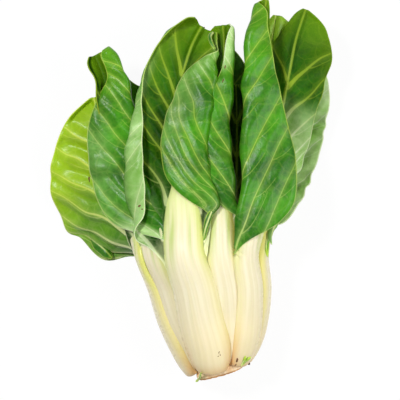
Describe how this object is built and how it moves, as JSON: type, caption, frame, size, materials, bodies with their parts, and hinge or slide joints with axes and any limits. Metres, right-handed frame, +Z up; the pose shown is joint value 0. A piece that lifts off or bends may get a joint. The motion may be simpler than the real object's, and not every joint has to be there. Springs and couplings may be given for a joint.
{
  "type": "swiss chard",
  "caption": "Whole cut head of Swiss chard lying on its side, with broad pale stalks packed round a short stem and large folded green leaves.",
  "frame": {"origin": "middle of the head's footprint on the surface it lies on, at that surface", "axes": "+Z up from the surface, +Y along the head from the cut end of the stalks to the leaf tips, +X to the right seen from above with the cut end nearest"},
  "size_m": [0.2553, 0.3404, 0.095],
  "materials": {
    "stem": "matte",
    "front_leaf": "satin",
    "right_front_leaf": "satin",
    "middle_leaf": "satin",
    "left_leaf": "satin",
    "outer_left_leaf": "satin",
    "upper_right_leaf": "satin",
    "outer_right_leaf": "satin",
    "under_middle_leaf": "satin",
    "under_left_leaf": "satin",
    "back_right_leaf": "satin",
    "heart_leaf_upper": "satin",
    "heart_leaf_left": "satin",
    "heart_leaf_lower": "satin",
    "sprout_right": "satin",
    "sprout_left": "satin"
  },
  "bodies": {
    "root": {"stem": "stem", "front_leaf": "front_leaf", "right_front_leaf": "right_front_leaf", "middle_leaf": "middle_leaf", "left_leaf": "left_leaf", "outer_left_leaf": "outer_left_leaf", "upper_right_leaf": "upper_right_leaf", "outer_right_leaf": "outer_right_leaf", "under_middle_leaf": "under_middle_leaf", "under_left_leaf": "under_left_leaf", "back_right_leaf": "back_right_leaf", "heart_leaf_upper": "heart_leaf_upper", "heart_leaf_left": "heart_leaf_left", "heart_leaf_lower": "heart_leaf_lower", "sprout_right": "sprout_right", "sprout_left": "sprout_left"}
  },
  "joints": []
}
